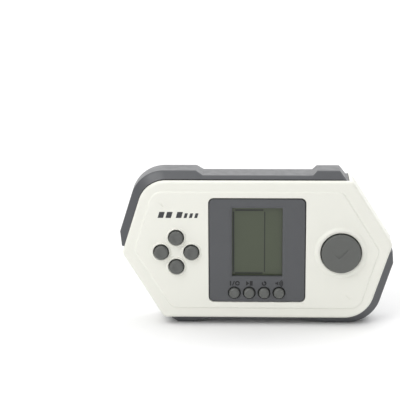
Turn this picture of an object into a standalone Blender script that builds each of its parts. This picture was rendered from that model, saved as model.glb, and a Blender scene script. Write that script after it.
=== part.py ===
"""A handheld LCD game: a long six-sided body held in both hands, with four direction buttons, a screen and a
large action button.

It is modelled lying on its back, in millimetres: x to the right, y up the face, and heights towards the
player. The empty "upright" then stands it on its two feet, with the face towards -Y and +Z up, in metres, and
with the origin under the middle of its depth."""

import math

import bmesh
import bpy
from mathutils import Matrix, Vector

MM = 0.001
GAP = 0.3  # between pieces that touch

# Heights of the faces, from the middle of the body
BORDER = 11.5
PANEL = 12.1
SEAM = 9.0  # where the front shell ends and the rear shell begins
WALL_END = -8.0  # how far back the rear shell's walls reach, before its back bevel
BACK = -12.0
BACK_BEVEL = 4.0
ACTION_TOP = 15.6  # the action button stands out furthest
WALL = 2.0
BOARD_FRONT = 4.2
BOARD_BACK = 2.6

# Outlines: corners as (x, y, radius, arc steps), clockwise from the left point
LEAN = 0.3194  # sideways run of the steep edges for each mm of height
HALF_LENGTH = 75.4
FACE_TOP = 39.1
FEET = 43.7
WAIST = 41.4
SKIRT_END = -7.4  # how far back the front shell's two side skirts reach
BEVEL_SLOPE = 0.66  # the rear shell's front bevel drops this much for each mm that it runs outwards
BEVEL_LEAST = 0.7


def turned_half(corners):
    """The corners and the same corners turned half round, which closes the outline."""
    return corners + [(-x, -y, radius, steps) for x, y, radius, steps in corners]


FACE = [
    (-73.9, -2.0, 4.0, 4),
    (-60.8, FACE_TOP, 15.5, 8),
    (51.9, FACE_TOP, 3.0, 3),
    (74.3, 3.4, 3.5, 4),
    (60.5, -FACE_TOP, 16.5, 8),
    (-51.4, -FACE_TOP, 4.0, 3),
]
RAISED_PANEL = turned_half([(-66.7, 0.0, 4.0, 4), (-56.6, 32.9, 6.8, 8), (46.4, 32.9, 5.0, 3)])

# The rear shell's widest outline, and under each corner the one that its front bevel rises to
SIDE_TIP = (-HALF_LENGTH, 8.8, 1.0, 2)
SIDE_TIP_IN = (-70.48, 7.3, 1.0, 2)
SHOULDER = (-HALF_LENGTH + (FEET - 8.8) * LEAN, FEET, 18.8, 8)
SHOULDER_IN = FACE[1]
CROWN = [
    (-33.1, FEET, 1.5, 1),
    (-29.3, WAIST, 1.5, 1),
    (30.5, WAIST, 1.0, 1),
    (32.9, FEET, 1.0, 1),
    (45.2, FEET, 1.0, 1),
    (48.8, FACE_TOP, 0.5, 1),
    FACE[2],
    FACE[3],
]
CROWN_IN = [
    (-33.8, FACE_TOP, 1.5, 1),
    (-29.3, FACE_TOP, 1.5, 1),
    (30.5, FACE_TOP, 1.0, 1),
    (33.8, FACE_TOP, 1.0, 1),
    (47.0, FACE_TOP, 0.6, 1),
    (48.8, FACE_TOP, 0.6, 1),
    FACE[2],
    FACE[3],
]
BASE = [
    (38.9, -FEET, 4.0, 2),
    (25.1, -WAIST, 4.0, 2),
    (-24.9, -WAIST, 4.0, 2),
    (-35.3, -FEET, 4.0, 2),
    (-43.9, -FEET, 1.0, 1),
    (-48.7, -FACE_TOP, 0.5, 1),
    FACE[5],
    FACE[0],
]
BASE_IN = [
    (38.9, -FACE_TOP, 4.0, 2),
    (25.1, -FACE_TOP, 4.0, 2),
    (-24.9, -FACE_TOP, 4.0, 2),
    (-35.3, -FACE_TOP, 4.0, 2),
    (-46.0, -FACE_TOP, 0.6, 1),
    (-48.7, -FACE_TOP, 0.6, 1),
    FACE[5],
    FACE[0],
]


def opposite(corner):
    """The corner turned half round."""
    return (-corner[0], -corner[1], corner[2], corner[3])


GRIP = [SIDE_TIP, SHOULDER, *CROWN, opposite(SIDE_TIP), opposite(SHOULDER), *BASE]
GRIP_IN = [SIDE_TIP_IN, SHOULDER_IN, *CROWN_IN, opposite(SIDE_TIP_IN), FACE[4], *BASE_IN]

# Controls, as places on the face
DIRECTION_CENTRE = (-44.0, -0.7)
DIRECTION_REACH = 8.3
DIRECTION_WAYS = {"up": (0, 1), "down": (0, -1), "left": (-1, 0), "right": (1, 0)}
DIRECTION_RADIUS = 3.95
DIRECTION_HOLE = 4.35
DIRECTION_COLLAR = 5.3
DIRECTION_COLLAR_TOP = 12.9
ACTION_CENTRE = (46.1, -0.8)
ACTION_RADIUS = 10.85
ACTION_HOLE = 11.3
ACTION_COLLAR = 14.5
ACTION_COLLAR_TOP = 13.1
COLLAR_ROOT = 10.4  # the collars start inside the face's thickness
FUNCTION_NAMES = ("power", "pause", "reset", "sound")
FUNCTION_PITCH = 8.2
FUNCTION_MIDDLE = 0.1
FUNCTION_ROW = -24.3
FUNCTION_RADIUS = 2.9
FUNCTION_HOLE = 3.45

# Screen
BEZEL_SIZE = (53.3, 59.6)
BEZEL_CENTRE = (0.3, 0.1)
BEZEL_FACE = 11.7
BEZEL_BACK = 8.6
WINDOW_SIZE = (27.6, 39.0)
WINDOW_CENTRE = (0.35, 4.6)

# Fasteners
CASE_SCREWS = [(-53.5, 26.5), (48.0, 27.0), (62.2, 1.6), (53.5, -26.5), (-48.0, -27.0), (-62.2, -1.6)]
BOARD_SCREWS = [(-31.5, 22.0), (31.5, 22.0), (31.5, -22.0), (-31.5, -22.0)]
BOSS_END = -1.0
DOOR_SCREW = (-33.2, 0.0)

# Battery bay, for two AAA cells side by side
CELL_RADIUS = 5.25
CELL_LENGTH = 44.5
CELL_SPACING = 10.9
CELL_HEIGHT = -4.85
BAY = (26.0, 11.1)  # half length, half width
BAY_FLOOR = 0.7
DOOR_INNER = -10.4
SPEAKER_CENTRE = (43.5, 0.0)
SPEAKER_RADIUS = 11.5


# ---------------------------------------------------------------- outlines


def outline(corners):
    """The points of a closed outline, with each corner turned into an arc of its own number of steps."""
    points = []
    for i, (x, y, radius, steps) in enumerate(corners):
        here = Vector((x, y))
        back = (Vector(corners[i - 1][:2]) - here).normalized()
        ahead = (Vector(corners[(i + 1) % len(corners)][:2]) - here).normalized()
        half = back.angle(ahead) / 2
        if half > math.radians(89.5):  # a straight run: the points are spread along it
            points += [here + ahead * radius * (k / steps - 0.5) for k in range(steps + 1)]
            continue
        centre = here + (back + ahead).normalized() * radius / math.sin(half)
        start = here + back * radius / math.tan(half) - centre
        turn = math.pi - 2 * half
        if back.x * ahead.y - back.y * ahead.x > 0:
            turn = -turn
        for k in range(steps + 1):
            points.append(centre + Matrix.Rotation(turn * k / steps, 2) @ start)
    return points


def offset(corners, distance):
    """The corners of the outline moved outwards by a distance, or inwards by a negative one."""
    moved = []
    for i, (x, y, radius, steps) in enumerate(corners):
        here = Vector((x, y))
        come = (here - Vector(corners[i - 1][:2])).normalized()
        go = (Vector(corners[(i + 1) % len(corners)][:2]) - here).normalized()
        normals = Vector((-come.y, come.x)), Vector((-go.y, go.x))
        spread = (normals[0] + normals[1]).normalized()
        corner = here + spread * distance / spread.dot(normals[0])
        convex = come.x * go.y - come.y * go.x < 0
        grown = max(radius + (distance if convex else -distance), 0.2)
        moved.append((corner.x, corner.y, grown if abs(spread.dot(normals[0])) < 0.9999 else radius, steps))
    return moved


def rectangle(centre, size, radius, steps=3):
    """The corners of a rounded rectangle, clockwise."""
    x, y = centre
    w, h = size[0] / 2, size[1] / 2
    return [(x + sx * w, y + sy * h, radius, steps) for sx, sy in ((-1, -1), (-1, 1), (1, 1), (1, -1))]


# ---------------------------------------------------------------- scene


def clear_scene():
    for obj in list(bpy.data.objects):
        bpy.data.objects.remove(obj, do_unlink=True)


clear_scene()
GAME = bpy.data.collections.new("handheld_game")
CUTTERS = bpy.data.collections.new("cutters")
CUTTERS.hide_render = True
for group in (GAME, CUTTERS):
    bpy.context.scene.collection.children.link(group)

UPRIGHT = bpy.data.objects.new("upright", None)
UPRIGHT.rotation_euler = (math.pi / 2, 0, 0)
UPRIGHT.location = (0, (ACTION_TOP + BACK) / 2 * MM, FEET * MM)
GAME.objects.link(UPRIGHT)


def finish(name, colour, roughness, metallic=0.0):
    """A plain material."""
    material = bpy.data.materials.new(name)
    material.use_nodes = True
    shader = material.node_tree.nodes["Principled BSDF"]
    shader.inputs["Base Color"].default_value = (*colour, 1.0)
    shader.inputs["Roughness"].default_value = roughness
    shader.inputs["Metallic"].default_value = metallic
    return material


WHITE = finish("white_plastic", (0.82, 0.82, 0.76), 0.4)
DARK_GREY = finish("dark_grey_plastic", (0.08, 0.083, 0.09), 0.42)
BUTTON_GREY = finish("button_grey", (0.115, 0.118, 0.108), 0.45)
DISPLAY = finish("display_green", (0.066, 0.078, 0.05), 0.35)
GLASS = finish("glass", (0.6, 0.7, 0.62), 0.1)
FOIL = finish("foil", (0.7, 0.7, 0.68), 0.3, 1.0)
RUBBER = finish("keypad_rubber", (0.55, 0.56, 0.55), 0.8)
CARBON = finish("carbon_rubber", (0.02, 0.02, 0.02), 0.7)
LAMINATE = finish("board_laminate", (0.42, 0.27, 0.1), 0.5)
EPOXY = finish("black_epoxy", (0.01, 0.01, 0.01), 0.3)
STEEL = finish("zinc_steel", (0.6, 0.6, 0.6), 0.3, 1.0)
JACKET = finish("cell_jacket", (0.05, 0.14, 0.3), 0.35)
RED_WIRE = finish("red_wire", (0.5, 0.02, 0.02), 0.45)
BLACK_WIRE = finish("black_wire", (0.02, 0.02, 0.02), 0.45)


def place(name, mesh, material=None, at=(0, 0)):
    """An object on the upright empty: a part if it has a material, a cutter if it has none."""
    obj = bpy.data.objects.new(name, mesh)
    obj.parent = UPRIGHT
    obj.location = (at[0] * MM, at[1] * MM, 0)
    if material:
        mesh.materials.append(material)
        GAME.objects.link(obj)
    else:
        obj.hide_render = True
        obj.display_type = "WIRE"
        CUTTERS.objects.link(obj)
    return obj


# ---------------------------------------------------------------- shapes


def mesh_of(name, shape):
    """The bmesh as a mesh, in metres, with its faces turned outwards."""
    bmesh.ops.recalc_face_normals(shape, faces=shape.faces)
    bmesh.ops.scale(shape, vec=(MM, MM, MM), verts=shape.verts)
    mesh = bpy.data.meshes.new(name)
    shape.to_mesh(mesh)
    shape.free()
    return mesh


def loft(name, rings, material=None):
    """A solid through outlines that match point for point, given as (corners, height).

    A height can also be a list, with one height for each point of the outline."""
    shape = bmesh.new()
    loops = []
    for corners, height in rings:
        points = outline(corners)
        heights = height if isinstance(height, list) else [height] * len(points)
        loops.append([shape.verts.new((*point, z)) for point, z in zip(points, heights)])
    for low, high in zip(loops, loops[1:]):
        for i in range(len(low)):
            shape.faces.new((low[i - 1], low[i], high[i], high[i - 1]))
    shape.faces.new(loops[0])
    shape.faces.new(loops[-1])
    return place(name, mesh_of(name, shape), material)


def plate(name, corners, low, high, material=None):
    """A flat outline, filled and extruded between two heights."""
    curve = bpy.data.curves.new(name, "CURVE")
    curve.dimensions = "2D"
    curve.fill_mode = "BOTH"
    curve.extrude = (high - low) / 2 * MM
    spline = curve.splines.new("POLY")
    points = outline(corners)
    spline.points.add(len(points) - 1)
    for target, point in zip(spline.points, points):
        target.co = (point.x * MM, point.y * MM, 0, 1)
    spline.use_cyclic_u = True
    guide = bpy.data.objects.new(name, curve)
    mesh = bpy.data.meshes.new_from_object(guide)
    bpy.data.objects.remove(guide)
    shape = bmesh.new()
    shape.from_mesh(mesh)
    bmesh.ops.remove_doubles(shape, verts=shape.verts, dist=1e-6)
    bmesh.ops.recalc_face_normals(shape, faces=shape.faces)
    bmesh.ops.translate(shape, vec=(0, 0, (low + high) / 2 * MM), verts=shape.verts)
    shape.to_mesh(mesh)
    shape.free()
    return place(name, mesh, material)


def box(name, x, y, height, material=None):
    """A block between pairs of limits."""
    shape = bmesh.new()
    bmesh.ops.create_cube(shape, size=1)
    limits = (x, y, height)
    bmesh.ops.scale(shape, vec=[high - low for low, high in limits], verts=shape.verts)
    bmesh.ops.translate(shape, vec=[(low + high) / 2 for low, high in limits], verts=shape.verts)
    return place(name, mesh_of(name, shape), material)


def rod(name, at, radius, low, high, material=None, segments=16):
    """A cylinder standing on the face's plane."""
    shape = bmesh.new()
    bmesh.ops.create_cone(
        shape, cap_ends=True, segments=segments, radius1=radius, radius2=radius, depth=high - low
    )
    bmesh.ops.translate(shape, vec=(0, 0, (low + high) / 2), verts=shape.verts)
    return place(name, mesh_of(name, shape), material, at)


def turned(name, profile, material=None, at=(0, 0), steps=24):
    """A round piece: half its profile as (radius, height), from the top down its outer side.

    A profile that starts on the axis ends there; any other is a ring's, and is closed."""
    mesh = bpy.data.meshes.new(name)
    points = [(radius * MM, 0, height * MM) for radius, height in profile]
    edges = [(i, i + 1) for i in range(len(points) - 1)]
    if profile[0][0] > 0:
        edges.append((len(points) - 1, 0))
    mesh.from_pydata(points, edges, [])
    obj = place(name, mesh, material, at)
    screw = obj.modifiers.new("turn", "SCREW")
    screw.steps = steps
    screw.render_steps = steps
    screw.use_merge_vertices = True
    screw.merge_threshold = 1e-5
    screw.use_smooth_shade = True
    return obj


def tube(name, points, radius, material, resolution=2):
    """A round wire along a route."""
    curve = bpy.data.curves.new(name, "CURVE")
    curve.dimensions = "3D"
    curve.bevel_depth = radius * MM
    curve.bevel_resolution = resolution
    curve.use_fill_caps = True
    spline = curve.splines.new("POLY")
    spline.points.add(len(points) - 1)
    for target, point in zip(spline.points, points):
        target.co = (*(Vector(point) * MM), 1)
    return place(name, curve, material)


def combine(target, other, operation):
    step = target.modifiers.new(other.name, "BOOLEAN")
    step.operation = operation
    step.object = other
    step.solver = "EXACT"


def cut(target, *others):
    for other in others:
        combine(target, other, "DIFFERENCE")


def add(target, *others):
    for other in others:
        combine(target, other, "UNION")


def shared_mesh(obj):
    """The object's finished mesh, for its copies, and the object itself removed."""
    bpy.context.view_layer.update()
    graph = bpy.context.evaluated_depsgraph_get()
    mesh = bpy.data.meshes.new_from_object(obj.evaluated_get(graph))
    bpy.data.objects.remove(obj)
    return mesh


def smooth(obj, angle=35):
    obj.data.shade_smooth()
    obj.data.set_sharp_from_angle(angle=math.radians(angle))


def soft_ring(inner, outer, top, edge, steps=2):
    """The closed profile of a collar whose two upper edges are rounded."""
    arc = [math.pi / 2 * k / steps for k in range(steps + 1)]
    rise = [(inner + edge - edge * math.cos(a), top - edge + edge * math.sin(a)) for a in arc]
    fall = [(outer - edge + edge * math.sin(a), top - edge + edge * math.cos(a)) for a in arc]
    return [*rise, *fall, (outer, COLLAR_ROOT), (inner, COLLAR_ROOT)]


def direction_places():
    """Each direction button's name and place."""
    x, y = DIRECTION_CENTRE
    for way, (right, up) in DIRECTION_WAYS.items():
        yield way, (x + right * DIRECTION_REACH, y + up * DIRECTION_REACH)


def function_places():
    """Each function button's name and place, from left to right."""
    middle = (len(FUNCTION_NAMES) - 1) / 2
    for i, name in enumerate(FUNCTION_NAMES):
        yield name, (FUNCTION_MIDDLE + (i - middle) * FUNCTION_PITCH, FUNCTION_ROW)


# ---------------------------------------------------------------- front shell


def skirts(name, outer, inner, low, high, margin):
    """The two stretches of side wall that follow the slanted edges at the top right and the bottom left."""
    sides = []
    for side, sign in (("right", 1), ("left", -1)):
        strip = plate(f"{name}_{side}", offset(FACE, outer), low, high)
        cut(strip, plate(f"{name}_{side}_inside", offset(FACE, inner), low - 1, high + 1))
        x = sorted((sign * (50.2 - margin), sign * 90))
        y = sorted((sign * (-1.0 - margin), sign * 60))
        combine(strip, box(f"{name}_{side}_limits", x, y, (low - 2, high + 2)), "INTERSECT")
        sides.append(strip)
    return sides


def front_shell():
    fillet = 1.6
    rings = [(FACE, SEAM)]
    for angle in (0, 30, 60, 90):
        inwards = fillet * (1 - math.cos(math.radians(angle)))
        rings.append((offset(FACE, -inwards), BORDER - fillet * (1 - math.sin(math.radians(angle)))))
    rings += [(offset(RAISED_PANEL, PANEL - BORDER), BORDER), (RAISED_PANEL, PANEL)]
    shell = loft("front_shell", rings, WHITE)
    cut(shell, plate("border_inside", offset(FACE, -WALL), SEAM - 3, BORDER - WALL))
    cut(shell, plate("panel_inside", offset(RAISED_PANEL, -0.8), SEAM - 2, PANEL - WALL))
    add(shell, *skirts("skirt", -0.03, -WALL + 0.03, SKIRT_END, SEAM + 0.4, 0))

    cut(shell, plate("bezel_opening", rectangle(BEZEL_CENTRE, BEZEL_SIZE, 3.0), 0, 20))
    cut(shell, rod("action_hole", ACTION_CENTRE, ACTION_HOLE + 1.0, 0, 20, segments=36))

    inside = PANEL - WALL + 0.7  # well into the face's thickness
    for i, at in enumerate(CASE_SCREWS, 1):
        add(shell, rod(f"boss_{i}", at, 3.2, BOSS_END, inside))
        cut(shell, rod(f"boss_{i}_bore", at, 1.45, BOSS_END - 1, 8, segments=12))
    for i, at in enumerate(BOARD_SCREWS, 1):
        add(shell, rod(f"post_{i}", at, 2.5, BOARD_FRONT + GAP, inside, segments=12))
        cut(shell, rod(f"post_{i}_bore", at, 1.0, BOARD_FRONT - 1, 9, segments=8))

    for way, at in direction_places():
        cut(shell, rod(f"{way}_hole", at, (DIRECTION_HOLE + DIRECTION_COLLAR) / 2, 0, 20))
        rim = soft_ring(DIRECTION_HOLE, DIRECTION_COLLAR, DIRECTION_COLLAR_TOP, 0.4)
        add(shell, turned(f"{way}_collar", rim, at=at, steps=16))
    rim = [(ACTION_HOLE, 12.9), (ACTION_HOLE + 0.2, ACTION_COLLAR_TOP), (12.3, ACTION_COLLAR_TOP)]
    rim += [(13.0, 12.98), (13.8, 12.6), (ACTION_COLLAR, PANEL - 0.1)]
    rim += [(ACTION_COLLAR, COLLAR_ROOT), (ACTION_HOLE, COLLAR_ROOT)]
    add(shell, turned("action_collar", rim, at=ACTION_CENTRE, steps=36))
    for i, (x, y) in enumerate(((-51.7, 26.1), (50.6, -26.4)), 1):
        groove = plate(f"groove_{i}", rectangle((0, 0), (3.0, 0.8), 0.38, 2), PANEL - 0.25, PANEL + 1)
        groove.location = (x * MM, y * MM, 0)
        groove.rotation_euler.z = math.radians(-45)
        cut(shell, groove)
    for step in shell.modifiers:
        step.solver = "MANIFOLD"  # the exact solver leaves open edges round the collars
    smooth(shell)


# ---------------------------------------------------------------- rear shell


def ridge():
    """The height of the front bevel's foot at each point of the rear shell's widest outline."""
    runs = [(outer - inner).length for outer, inner in zip(outline(GRIP), outline(GRIP_IN))]
    return [SEAM - GAP - max(BEVEL_SLOPE * run, BEVEL_LEAST) for run in runs]


def rear_shell():
    rings = [(GRIP_IN, SEAM - GAP), (GRIP, ridge()), (GRIP, WALL_END), (offset(GRIP, -BACK_BEVEL), BACK)]
    shell = loft("rear_shell", rings, DARK_GREY)
    floor = BACK + WALL
    cut(shell, plate("rear_inside", offset(FACE, -4.3), floor, SEAM + 5))
    for strip in skirts("skirt_room", 4.0, -WALL - GAP, SKIRT_END - GAP, SEAM + 5, GAP):
        cut(shell, strip)

    # Battery well, with a ledge round its mouth that the door rests on
    half_length, half_width = BAY
    add(shell, box("well", (-27.4, 27.4), (-12.4, 12.4), (BACK + 0.5, BAY_FLOOR + 1.2)))
    add(shell, plate("ledge", offset(door_corners(), 1.8), BACK + 0.5, -8.6))
    x, y = (-half_length, half_length), (-half_width, half_width)
    cut(shell, box("bay", x, y, (BACK - 5, BAY_FLOOR)))
    cut(shell, plate("door_room", offset(door_corners(), GAP), BACK - 5, DOOR_INNER + GAP))
    for side in (-1, 1):
        at = side * CELL_SPACING / 2
        cut(shell, box(f"tail_slot_{side}", (24.0, 26.0), (at - 1.5, at + 1.5), (-1, 4)))

    # The door's screw goes into a post behind the door
    add(shell, rod("door_post", DOOR_SCREW, 5.4, -9.5, -3.5))
    cut(shell, rod("door_cup_room", DOOR_SCREW, 3.9, BACK - 5, -8.3))
    cut(shell, rod("door_post_bore", DOOR_SCREW, 1.45, -9.5, -4.2, segments=12))

    for i, at in enumerate(CASE_SCREWS, 1):
        add(shell, rod(f"tower_{i}", at, 4.1, floor - 0.5, BOSS_END - GAP))
        cut(shell, rod(f"tower_{i}_head", at, 2.9, BACK - 5, -7.3))
        cut(shell, rod(f"tower_{i}_bore", at, 1.45, -8, 5, segments=12))

    # Sound slots, inside a ring that holds the speaker
    ring = [(12.9, -6.0), (12.9, floor - 0.5), (11.9, floor - 0.5), (11.9, -6.0)]
    add(shell, turned("speaker_ring", ring, at=SPEAKER_CENTRE))
    for row in range(-2, 3):
        reach = math.sqrt(8.0**2 - (row * 3.2) ** 2)
        centre = (SPEAKER_CENTRE[0], SPEAKER_CENTRE[1] + row * 3.2)
        slot = rectangle(centre, (2 * reach, 1.3), 0.6, 2)
        cut(shell, plate(f"sound_slot_{row + 3}", slot, BACK - 5, floor + 1))
    smooth(shell)


def door_corners():
    return rectangle((-4.2, 0), (65.6, 26.0), 2.0)


def battery_door():
    corners = door_corners()
    rings = [(corners, DOOR_INNER), (corners, BACK + 0.3), (offset(corners, -0.3), BACK)]
    door = loft("battery_door", rings, DARK_GREY)
    add(door, rod("door_cup", DOOR_SCREW, 3.6, -10.8, -8.6))
    cut(door, rod("door_cup_head", DOOR_SCREW, 2.7, BACK - 1, -9.9))
    cut(door, rod("door_cup_bore", DOOR_SCREW, 1.45, -11, -8, segments=12))
    for i in range(5):
        x = 15.0 + i * 2.2
        cut(door, plate(f"grip_{i}", rectangle((x, 0), (0.9, 14.0), 0.4, 2), BACK - 1, BACK + 0.5))
    smooth(door)


# ---------------------------------------------------------------- screen


def screen():
    """The bezel, and the display and its pieces as one stack behind the bezel's window."""
    x, y = WINDOW_CENTRE
    w, h = WINDOW_SIZE

    bezel_size = (BEZEL_SIZE[0] - 2 * GAP, BEZEL_SIZE[1] - 2 * GAP)
    face = rectangle(BEZEL_CENTRE, bezel_size, 2.8)
    edge = 0.35
    rings = [(face, BEZEL_BACK), (face, BEZEL_FACE - edge), (offset(face, -edge), BEZEL_FACE)]
    bezel = loft("screen_bezel", rings, DARK_GREY)
    flange = rectangle(BEZEL_CENTRE, (BEZEL_SIZE[0] + 3.2, BEZEL_SIZE[1] + 2.4), 3.0)
    add(bezel, plate("bezel_flange", flange, BEZEL_BACK - 0.01, PANEL - WALL - GAP))
    window = rectangle((x, y), (w, h), 0.3, 1)
    slope = 1.4
    rings = [(window, 0), (window, BEZEL_FACE - 0.5), (offset(window, slope), BEZEL_FACE + 0.05)]
    cut(bezel, loft("window_room", rings))
    pocket = rectangle((x, y), (w + 4.2, h + 4.2), 0.3, 1)
    cut(bezel, plate("display_pocket", pocket, 0, 9.4))
    for name, at in function_places():
        cut(bezel, rod(f"{name}_hole", at, FUNCTION_HOLE, 0, 20))
    smooth(bezel)

    film = rectangle((x, y), (w + 2.4, h + 2.4), 0.3, 1)
    plate("display_polariser", film, 8.85, 9.1, DISPLAY)
    plate("display_glass", rectangle((x, y), (w + 3.6, h + 3.6), 0.3, 1), 6.5, 8.6, GLASS)
    plate("display_reflector", rectangle((x, y + 1.5), (w + 2.4, h - 0.6), 0.3, 1), 5.95, 6.2, FOIL)
    holder = plate("display_holder", rectangle((x, y), (w + 7.2, h + 7.2), 1.0), 4.5, 8.3, WHITE)
    cut(holder, plate("holder_inside", pocket, 0, 12))
    box("display_connector", (x - w / 2, x + w / 2), (y - h / 2 - 1.6, y - h / 2 + 0.4), (4.5, 6.2), CARBON)


# ---------------------------------------------------------------- buttons


FLANGE = PANEL - WALL - GAP
FOOT = 6.2  # the lower end of every button's stem
PILL_TOP = FOOT - GAP
DIRECTION_TRAVEL = 1.0
ACTION_TRAVEL = 1.2
FUNCTION_TRAVEL = 0.8
CONTACT_CLEARANCE = 0.2  # left between contact and board at full travel


def button(name, at, cap, radius, flange, hollow, stem, steps):
    """A cap through the face, a flange that keeps it in, and a stem that pushes its contact.

    cap is the profile of the top, flange is (radius, top, bottom), and hollow is (radius, roof), or None."""
    profile = [*cap, (radius, flange[1]), (flange[0], flange[1]), (flange[0], flange[2])]
    if hollow:
        profile += [(hollow[0], flange[2]), (hollow[0], hollow[1]), (stem, hollow[1])]
    else:
        profile += [(stem, flange[2])]
    profile += [(stem, FOOT), (0, FOOT)]
    piece = turned(f"{name}_button", profile, BUTTON_GREY, at, steps)
    smooth(piece)
    return piece


def contact(name, at, radius, travel):
    """The conductive pill that a button presses onto the board."""
    low = BOARD_FRONT + travel + CONTACT_CLEARANCE
    rod(f"{name}_contact", at, radius, low, PILL_TOP, CARBON)


def direction_buttons():
    top = 14.9
    cap = [(0, top - 0.35), (1.5, top - 0.28), (2.5, top - 0.1), (3.1, top)]
    cap += [(3.55, top - 0.15), (3.85, top - 0.55), (DIRECTION_RADIUS, top - 1.2)]
    for way, at in direction_places():
        button(way, at, cap, DIRECTION_RADIUS, (5.0, FLANGE, FLANGE - 1.0), None, 2.4, steps=16)
        contact(way, at, 2.0, DIRECTION_TRAVEL)


def action_button():
    top = ACTION_TOP
    cap = [(0, top), (10.1, top), (10.5, top - 0.12), (10.75, top - 0.4), (ACTION_RADIUS, top - 0.9)]
    flange = (12.7, FLANGE, FLANGE - 1.2)
    button("action", ACTION_CENTRE, cap, ACTION_RADIUS, flange, (9.6, 13.4), 3.5, steps=36)
    contact("action", ACTION_CENTRE, 3.0, ACTION_TRAVEL)


def function_buttons():
    top = 13.6
    cap = [(0, top), (2.15, top), (2.7, top - 0.35), (FUNCTION_RADIUS, top - 0.7)]
    below = BEZEL_BACK - GAP
    for name, at in function_places():
        button(name, at, cap, FUNCTION_RADIUS, (3.8, below, below - 0.8), None, 1.8, steps=16)
        contact(name, at, 1.4, FUNCTION_TRAVEL)


def keypads():
    """The rubber sheets on the board, open round each button's contact."""
    low = BOARD_FRONT + GAP
    high = low + 0.8
    sheet = plate("direction_keypad", rectangle(DIRECTION_CENTRE, (26, 26), 6.0, 4), low, high, RUBBER)
    for way, at in direction_places():
        cut(sheet, rod(f"{way}_pad_hole", at, 3.2, 0, 9))
    sheet = plate("action_keypad", rectangle(ACTION_CENTRE, (22, 22), 6.0, 4), low, high, RUBBER)
    cut(sheet, rod("action_pad_hole", ACTION_CENTRE, 4.5, 0, 9))
    strip = rectangle((FUNCTION_MIDDLE, FUNCTION_ROW), (33.5, 9.5), 2.0)
    sheet = plate("function_keypad", strip, low, high, RUBBER)
    for name, at in function_places():
        cut(sheet, rod(f"{name}_pad_hole", at, 2.6, 0, 9))


# ---------------------------------------------------------------- board and sound


def board():
    half = [(-57.8, -12.0, 1.0, 2), (-57.8, 14.0, 1.0, 2), (-44.0, 31.0, 1.0, 2), (36.0, 31.0, 1.0, 2)]
    laminate = plate("main_board", turned_half(half), BOARD_BACK, BOARD_FRONT, LAMINATE)
    for i, at in enumerate(BOARD_SCREWS, 1):
        cut(laminate, rod(f"board_hole_{i}", at, 1.3, 0, 9, segments=16))
    below = BOARD_BACK - GAP
    blob = [(0, below), (4.6, below), (5.0, below - 0.2), (4.3, below - 0.8)]
    blob += [(2.6, below - 1.2), (0, below - 1.35)]
    turned("chip", blob, EPOXY, (-6.0, -21.5), 16)
    can = [(0, below), (2.5, below), (2.5, below - 6.8), (2.2, below - 7.1), (0, below - 7.1)]
    turned("capacitor", can, JACKET, (10.0, -21.5), 16)


def speaker():
    top, low = -5.4, -9.6
    can = [(0, top), (5.2, top), (5.4, top - 1.4), (9.6, top - 1.6), (SPEAKER_RADIUS, top - 2.6)]
    can += [(SPEAKER_RADIUS, low), (9.8, low), (8.6, low + 0.9), (3.2, low + 1.5), (0, low + 0.8)]
    turned("speaker", can, STEEL, SPEAKER_CENTRE)
    for sign, name, material in ((1, "speaker_wire_red", RED_WIRE), (-1, "speaker_wire_black", BLACK_WIRE)):
        start = Vector((SPEAKER_CENTRE[0] - 2, SPEAKER_CENTRE[1] + 2.4 * sign, top + GAP + 0.5))
        end = Vector((SPEAKER_CENTRE[0] - 9, SPEAKER_CENTRE[1] + 9 * sign, BOARD_BACK - GAP))
        rise = Vector((0, 0, 4.5))
        route = [bezier(start, start + rise, end - rise, end, k / 12) for k in range(13)]
        tube(name, route, 0.5, material)


def bezier(a, b, c, d, t):
    """The point at t on the cubic curve from a to d."""
    s = 1 - t
    return a * s**3 + b * 3 * s * s * t + c * 3 * s * t * t + d * t**3


# ---------------------------------------------------------------- power


def cells():
    """Two AAA cells, lying head to tail."""
    nub, shoulder = 0.9, 0.8
    half = CELL_LENGTH / 2
    profile = [(0, half), (1.9, half), (1.9, half - nub), (4.6, half - nub)]
    profile += [(CELL_RADIUS, half - nub - shoulder), (CELL_RADIUS, 0.4 - half)]
    profile += [(CELL_RADIUS - 0.4, -half), (0, -half)]
    for name, sign in (("battery_1", 1), ("battery_2", -1)):
        cell = turned(name, profile, JACKET)
        cell.location = (sign * 1.95 * MM, sign * CELL_SPACING / 2 * MM, CELL_HEIGHT * MM)
        cell.rotation_euler.y = sign * math.pi / 2
        smooth(cell)


def coil(name, x, direction, y):
    """A cone of spring wire that starts inside its plate and presses on a cell."""
    turns, steps = 3.5, 10
    count = int(turns * steps)
    points = []
    for k in range(count + 1):
        t = k / count
        angle = 2 * math.pi * turns * t
        radius = 3.4 - 1.2 * t
        along = x + direction * (0.1 + 4.2 * max(0, t * 1.1 - 0.1))
        points.append((along, y + radius * math.cos(angle), CELL_HEIGHT + radius * math.sin(angle)))
    wire = tube(name, points, 0.3, STEEL, resolution=1)
    mesh = bpy.data.meshes.new_from_object(wire)
    bpy.data.objects.remove(wire)
    shape = bmesh.new()
    shape.from_mesh(mesh)
    bmesh.ops.remove_doubles(shape, verts=shape.verts, dist=1e-6)
    shape.to_mesh(mesh)
    shape.free()
    return place(name, mesh)


def contact_plate(name, side, y, width):
    """A sheet metal contact against the bay's end wall; side is 1 at the right and -1 at the left."""
    x = sorted((side * 25.4, side * 25.7))
    return box(name, x, (y - width / 2, y + width / 2), (CELL_HEIGHT - 4.4, CELL_HEIGHT + 4.6), STEEL)


def dimple(name, side, y):
    """The raised spot that meets a cell's positive end."""
    spot = rod(name, (0, 0), 1.5, 0, 0.8, segments=12)
    spot.rotation_euler.y = -side * math.pi / 2
    spot.location = (side * 25.5 * MM, y * MM, CELL_HEIGHT * MM)
    return spot


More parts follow.
